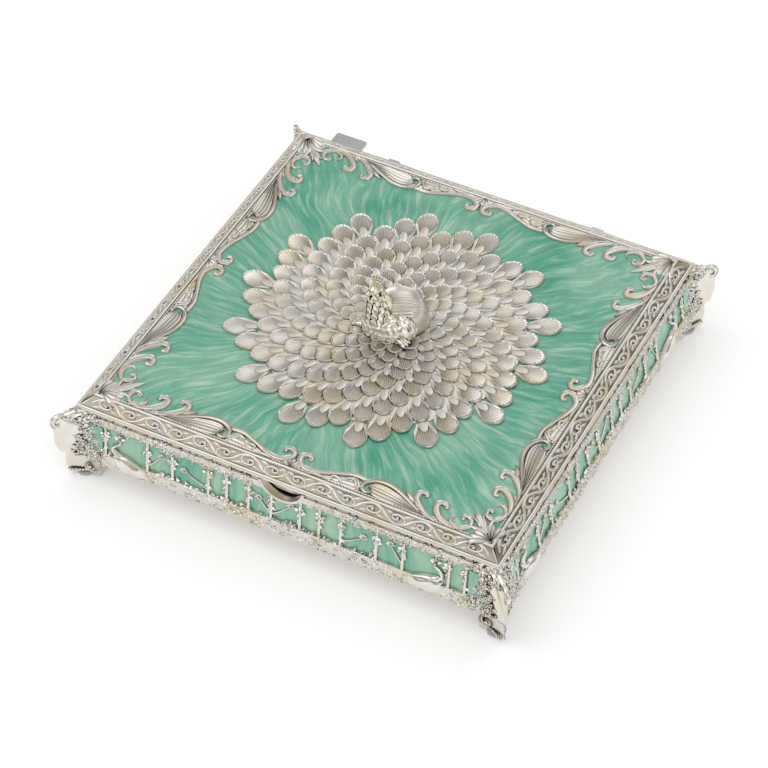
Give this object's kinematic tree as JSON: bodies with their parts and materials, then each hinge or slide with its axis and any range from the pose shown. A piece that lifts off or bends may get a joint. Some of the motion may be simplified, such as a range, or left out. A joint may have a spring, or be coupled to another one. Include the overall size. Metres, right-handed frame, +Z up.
{
  "type": "gift box",
  "caption": "Square hinged presentation box in silver plated castings with mint enamel, bamboo relief walls, scroll corner feet, a swirling feather lid and a peacock finial.",
  "frame": {"origin": "on the table under the middle of the box, at the bottom of the bumper pads", "axes": "+Z up, the thumb notch faces -Y, the hinges are at +Y"},
  "size_m": [0.317, 0.317, 0.1136],
  "materials": {
    "silver_plate": "polished cast",
    "wall_enamel": "pearl gloss",
    "lid_enamel": "pearl gloss",
    "lining": "short velvet",
    "clear_pad": "clear soft",
    "dark_rubber": "matt",
    "plain_steel": "plain"
  },
  "bodies": {
    "base": {"wall_front": "silver_plate", "wall_right": "silver_plate", "wall_back": "silver_plate", "wall_left": "silver_plate", "corner_post_front_right": "silver_plate", "corner_post_back_right": "silver_plate", "corner_post_back_left": "silver_plate", "corner_post_front_left": "silver_plate", "floor_plate": "silver_plate", "wall_enamel_front": "wall_enamel", "wall_enamel_right": "wall_enamel", "wall_enamel_back": "wall_enamel", "wall_enamel_left": "wall_enamel", "floor_lining": "lining", "foot_pads": "clear_pad", "hinge_leaf_base_left": "plain_steel", "hinge_leaf_base_right": "plain_steel", "hinge_pin_left": "plain_steel", "hinge_pin_right": "plain_steel", "floor_screws": "plain_steel"},
    "lid": {"lid_frame": "silver_plate", "lid_skirt": "silver_plate", "lid_enamel": "lid_enamel", "lid_border_scrolls": "silver_plate", "feather_rosette": "silver_plate", "peacock_tail": "silver_plate", "peacock_neck_head": "silver_plate", "peacock_crest": "silver_plate", "peacock_feet": "silver_plate", "peacock_screw": "plain_steel", "lid_lining": "lining", "hinge_leaf_lid_left": "plain_steel", "hinge_leaf_lid_right": "plain_steel", "stop_tab": "plain_steel", "stop_buffer": "dark_rubber"}
  },
  "joints": [
    {"name": "lid_hinge", "type": "hinge", "parent": "base", "child": "lid", "pos_m": [0, 0.1475, 0.054], "axis": [-1, 0, 0], "range_deg": [0, 110]}
  ]
}
